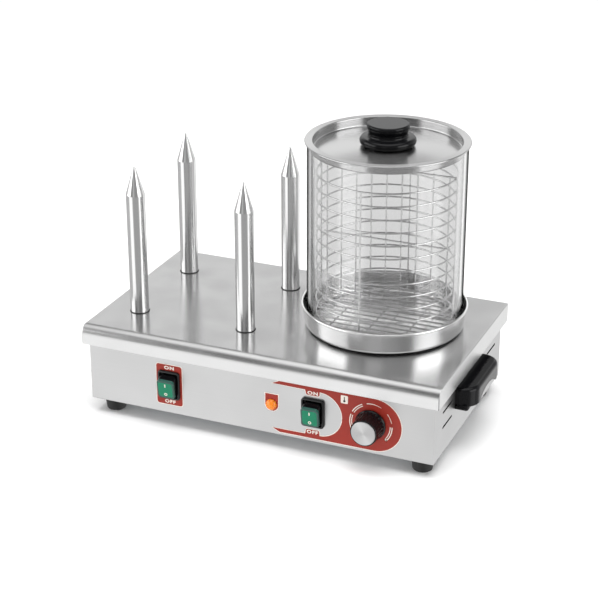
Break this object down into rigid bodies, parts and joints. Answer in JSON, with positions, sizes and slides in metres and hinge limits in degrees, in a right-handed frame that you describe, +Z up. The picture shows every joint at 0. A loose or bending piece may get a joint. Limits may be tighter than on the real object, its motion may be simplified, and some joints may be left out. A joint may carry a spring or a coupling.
{
  "type": "hot dog spike machine",
  "caption": "Table-top hot dog machine: heated bun spikes beside a glass steamer with a lid and a divided wire basket, on a sheet-metal base with switches, lamp, knob and handles.",
  "frame": {"origin": "middle of the base, level with the table under the feet", "axes": "+X along the front from left to right, +Y to the back, +Z up"},
  "size_m": [0.516, 0.32, 0.3903],
  "materials": {
    "brushed_cover": "brushed along its length",
    "brushed_body": "brushed along its length",
    "base_sheet": "mill finish",
    "foot_rubber": "moulded, matt",
    "zinc_fasteners": "bright zinc",
    "spike_steel": "turned and polished",
    "gasket_rubber": "moulded, matt",
    "heater_sheath": "heat darkened",
    "spun_pan": "spun and polished",
    "cast_plate": "cast and machined",
    "control_body": "moulded",
    "copper_bulb": "drawn copper",
    "switch_black": "moulded, satin",
    "switch_green": "moulded, translucent",
    "terminal_brass": "stamped",
    "lamp_amber": "moulded, translucent",
    "handle_black": "moulded, high gloss",
    "terminal_white": "moulded",
    "clear_glass": "drawn tube, fire-polished ends",
    "spun_lid": "spun and polished",
    "knob_black": "moulded, gloss",
    "basket_wire": "welded wire, polished",
    "spun_cap": "spun face with radial sheen"
  },
  "bodies": {
    "base": {"top_cover": "brushed_cover", "body_shell": "brushed_body", "base_plate": "base_sheet", "foot_front_left": "foot_rubber", "foot_front_right": "foot_rubber", "foot_rear_left": "foot_rubber", "foot_rear_right": "foot_rubber", "foot_screws": "zinc_fasteners", "foot_nuts": "zinc_fasteners", "cover_nuts": "zinc_fasteners", "floor_screws": "zinc_fasteners", "spike_front_left": "spike_steel", "spike_rear_left": "spike_steel", "spike_front_right": "spike_steel", "spike_rear_right": "spike_steel", "spike_gaskets": "gasket_rubber", "spike_nuts": "zinc_fasteners", "spike_heaters": "heater_sheath", "water_pan": "spun_pan", "heating_plate": "cast_plate", "heating_element": "heater_sheath", "plate_spacer": "base_sheet", "heater_bridge": "base_sheet", "heater_nuts": "zinc_fasteners", "thermostat_body": "control_body", "thermostat_nut": "zinc_fasteners", "thermostat_bulb": "copper_bulb", "switch_housing_left": "switch_black", "switch_housing_right": "switch_black", "switch_terminals": "terminal_brass", "lamp_body": "control_body", "lamp_lens": "lamp_amber", "lamp_nut": "control_body", "handle_left": "handle_black", "handle_right": "handle_black", "handle_screws": "zinc_fasteners", "gland_body": "control_body", "gland_nut": "control_body", "gland_locknut": "control_body", "terminal_block": "terminal_white", "terminal_screws": "terminal_brass"},
    "glass": {"glass_cylinder": "clear_glass"},
    "lid": {"lid": "spun_lid", "lid_knob": "knob_black", "lid_knob_screw": "zinc_fasteners"},
    "basket": {"basket_wall": "basket_wire", "basket_floor": "basket_wire", "basket_divider": "basket_wire"},
    "control_knob": {"thermostat_shaft": "zinc_fasteners", "thermostat_knob": "knob_black", "knob_cap": "spun_cap"},
    "rocker_left": {"rocker_left": "switch_black", "rocker_lens_left": "switch_green"},
    "rocker_right": {"rocker_right": "switch_black", "rocker_lens_right": "switch_green"}
  },
  "joints": [
    {"name": "glass_lift", "type": "slide", "parent": "base", "child": "glass", "axis": [0, 0, 1], "range_m": [0, 0.27]},
    {"name": "lid_lift", "type": "slide", "parent": "glass", "child": "lid", "axis": [0, 0, 1], "range_m": [0, 0.3]},
    {"name": "basket_lift", "type": "slide", "parent": "base", "child": "basket", "axis": [0, 0, 1], "range_m": [0, 0.27]},
    {"name": "knob_turn", "type": "hinge", "parent": "base", "child": "control_knob", "pos_m": [0.1521, -0.133, 0.06], "axis": [0, 1, 0], "range_deg": [0, 270]},
    {"name": "rocker_left_tilt", "type": "hinge", "parent": "base", "child": "rocker_left", "pos_m": [-0.12, -0.1298, 0.0605], "axis": [-1, 0, 0], "range_deg": [0, 17]},
    {"name": "rocker_right_tilt", "type": "hinge", "parent": "base", "child": "rocker_right", "pos_m": [0.0765, -0.1298, 0.0605], "axis": [-1, 0, 0], "range_deg": [0, 17]}
  ],
  "couplings": [
    {"joint": "basket_lift", "follows": "lid_lift", "ratio": 0.9}
  ]
}
